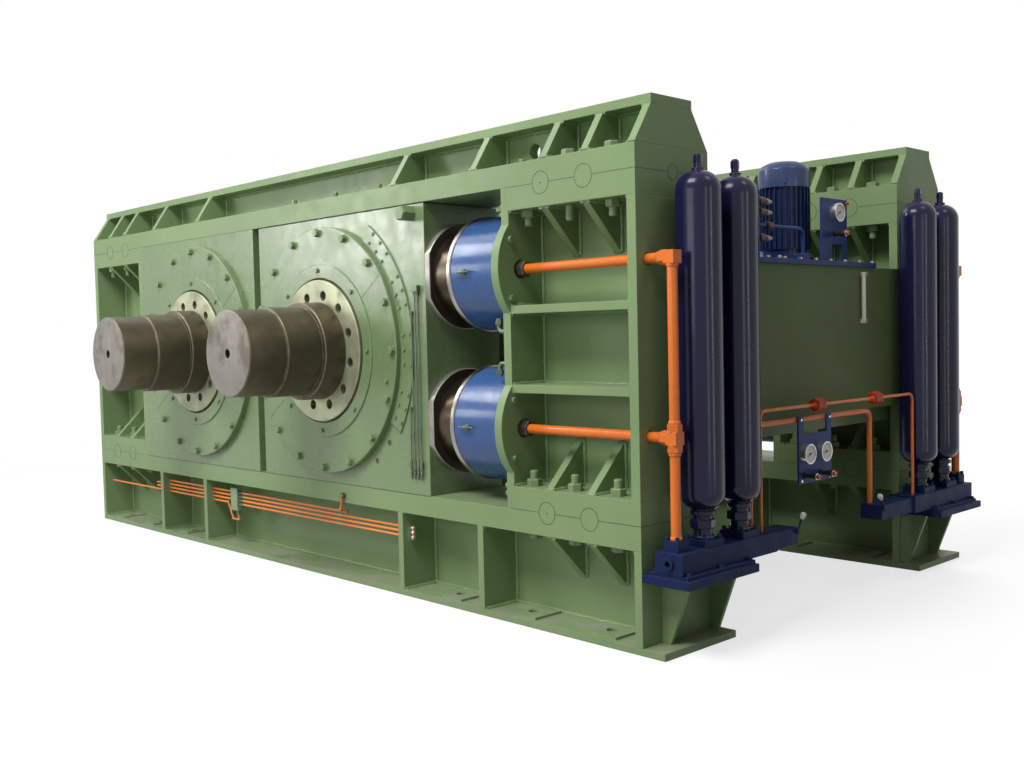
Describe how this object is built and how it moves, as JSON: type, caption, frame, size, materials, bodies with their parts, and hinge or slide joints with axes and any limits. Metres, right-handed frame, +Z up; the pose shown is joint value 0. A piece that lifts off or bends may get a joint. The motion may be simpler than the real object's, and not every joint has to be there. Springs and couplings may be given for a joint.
{
  "type": "roller press",
  "caption": "High-pressure grinding roller press with bolted welded side frames, a fixed and a sliding roll, thrust cylinders, oil bottles and an oil tank.",
  "frame": {"origin": "middle of the bounding box at floor level", "axes": "+X along the side frames towards the thrust cylinders and oil set, +Y away from the drive shaft ends, +Z up"},
  "size_m": [6.345, 3.8618, 2.65],
  "materials": {
    "frame_paint": "semi-gloss sage paint",
    "web_paint": "semi-gloss sage paint",
    "housing_paint": "semi-gloss sage paint",
    "tank_paint": "semi-gloss green paint",
    "barrel_blue": "gloss blue paint",
    "oil_blue": "gloss deep blue paint",
    "bottle_navy": "gloss navy paint",
    "pipe_orange": "gloss orange paint",
    "lube_copper": "orange paint over tube",
    "bright_steel": "turned",
    "plate_steel": "machined",
    "shaft_steel": "oiled, turned",
    "ram_steel": "oiled, ground",
    "roll_steel": "hard-faced",
    "gauge_tube": "clear tube over white scale"
  },
  "bodies": {
    "frame": {"sole_plates": "frame_paint", "lower_flanges": "frame_paint", "upper_flanges": "frame_paint", "top_plates": "frame_paint", "beam_webs": "web_paint", "near_beam_ribs": "frame_paint", "far_beam_ribs": "frame_paint", "near_column_flanges": "frame_paint", "far_column_flanges": "frame_paint", "near_column_plates": "frame_paint", "far_column_plates": "frame_paint", "column_webs": "web_paint", "column_stiffeners": "frame_paint", "joint_keys": "frame_paint", "near_fixed_housing": "housing_paint", "far_fixed_housing": "housing_paint", "near_fixed_cover": "housing_paint", "far_fixed_cover": "housing_paint", "thrust_barrels": "barrel_blue", "gland_rings": "bright_steel", "manifold_brackets": "frame_paint", "manifold_plates": "oil_blue", "manifold_blocks": "oil_blue", "oil_bottles": "bottle_navy", "pressure_pipes": "pipe_orange", "tank_beams": "frame_paint", "oil_tank": "tank_paint", "tank_lid": "oil_blue", "pump_motor": "oil_blue", "valve_stack": "oil_blue", "gauge_stand": "oil_blue", "level_gauge": "gauge_tube", "gauge_panel": "oil_blue", "gauges": "bright_steel", "cross_pipes": "pipe_orange", "lube_pipes": "lube_copper"},
    "fixed_roll_set": {"fixed_shaft": "shaft_steel", "fixed_roll": "roll_steel", "fixed_retainer": "plate_steel"},
    "moving_carriage": {"near_moving_housing": "housing_paint", "far_moving_housing": "housing_paint", "near_moving_cover": "housing_paint", "far_moving_cover": "housing_paint", "thrust_rams": "ram_steel"},
    "moving_roll_set": {"moving_shaft": "shaft_steel", "moving_roll": "roll_steel", "moving_retainer": "plate_steel"}
  },
  "joints": [
    {"name": "fixed_roll_spin", "type": "hinge", "parent": "frame", "child": "fixed_roll_set", "pos_m": [-1.3385, 0, 1.453], "axis": [0, 1, 0], "continuous": true},
    {"name": "carriage_slide", "type": "slide", "parent": "frame", "child": "moving_carriage", "axis": [1, 0, 0], "range_m": [0, 0.05]},
    {"name": "moving_roll_spin", "type": "hinge", "parent": "moving_carriage", "child": "moving_roll_set", "pos_m": [0.3395, 0, 1.453], "axis": [0, -1, 0], "continuous": true}
  ]
}
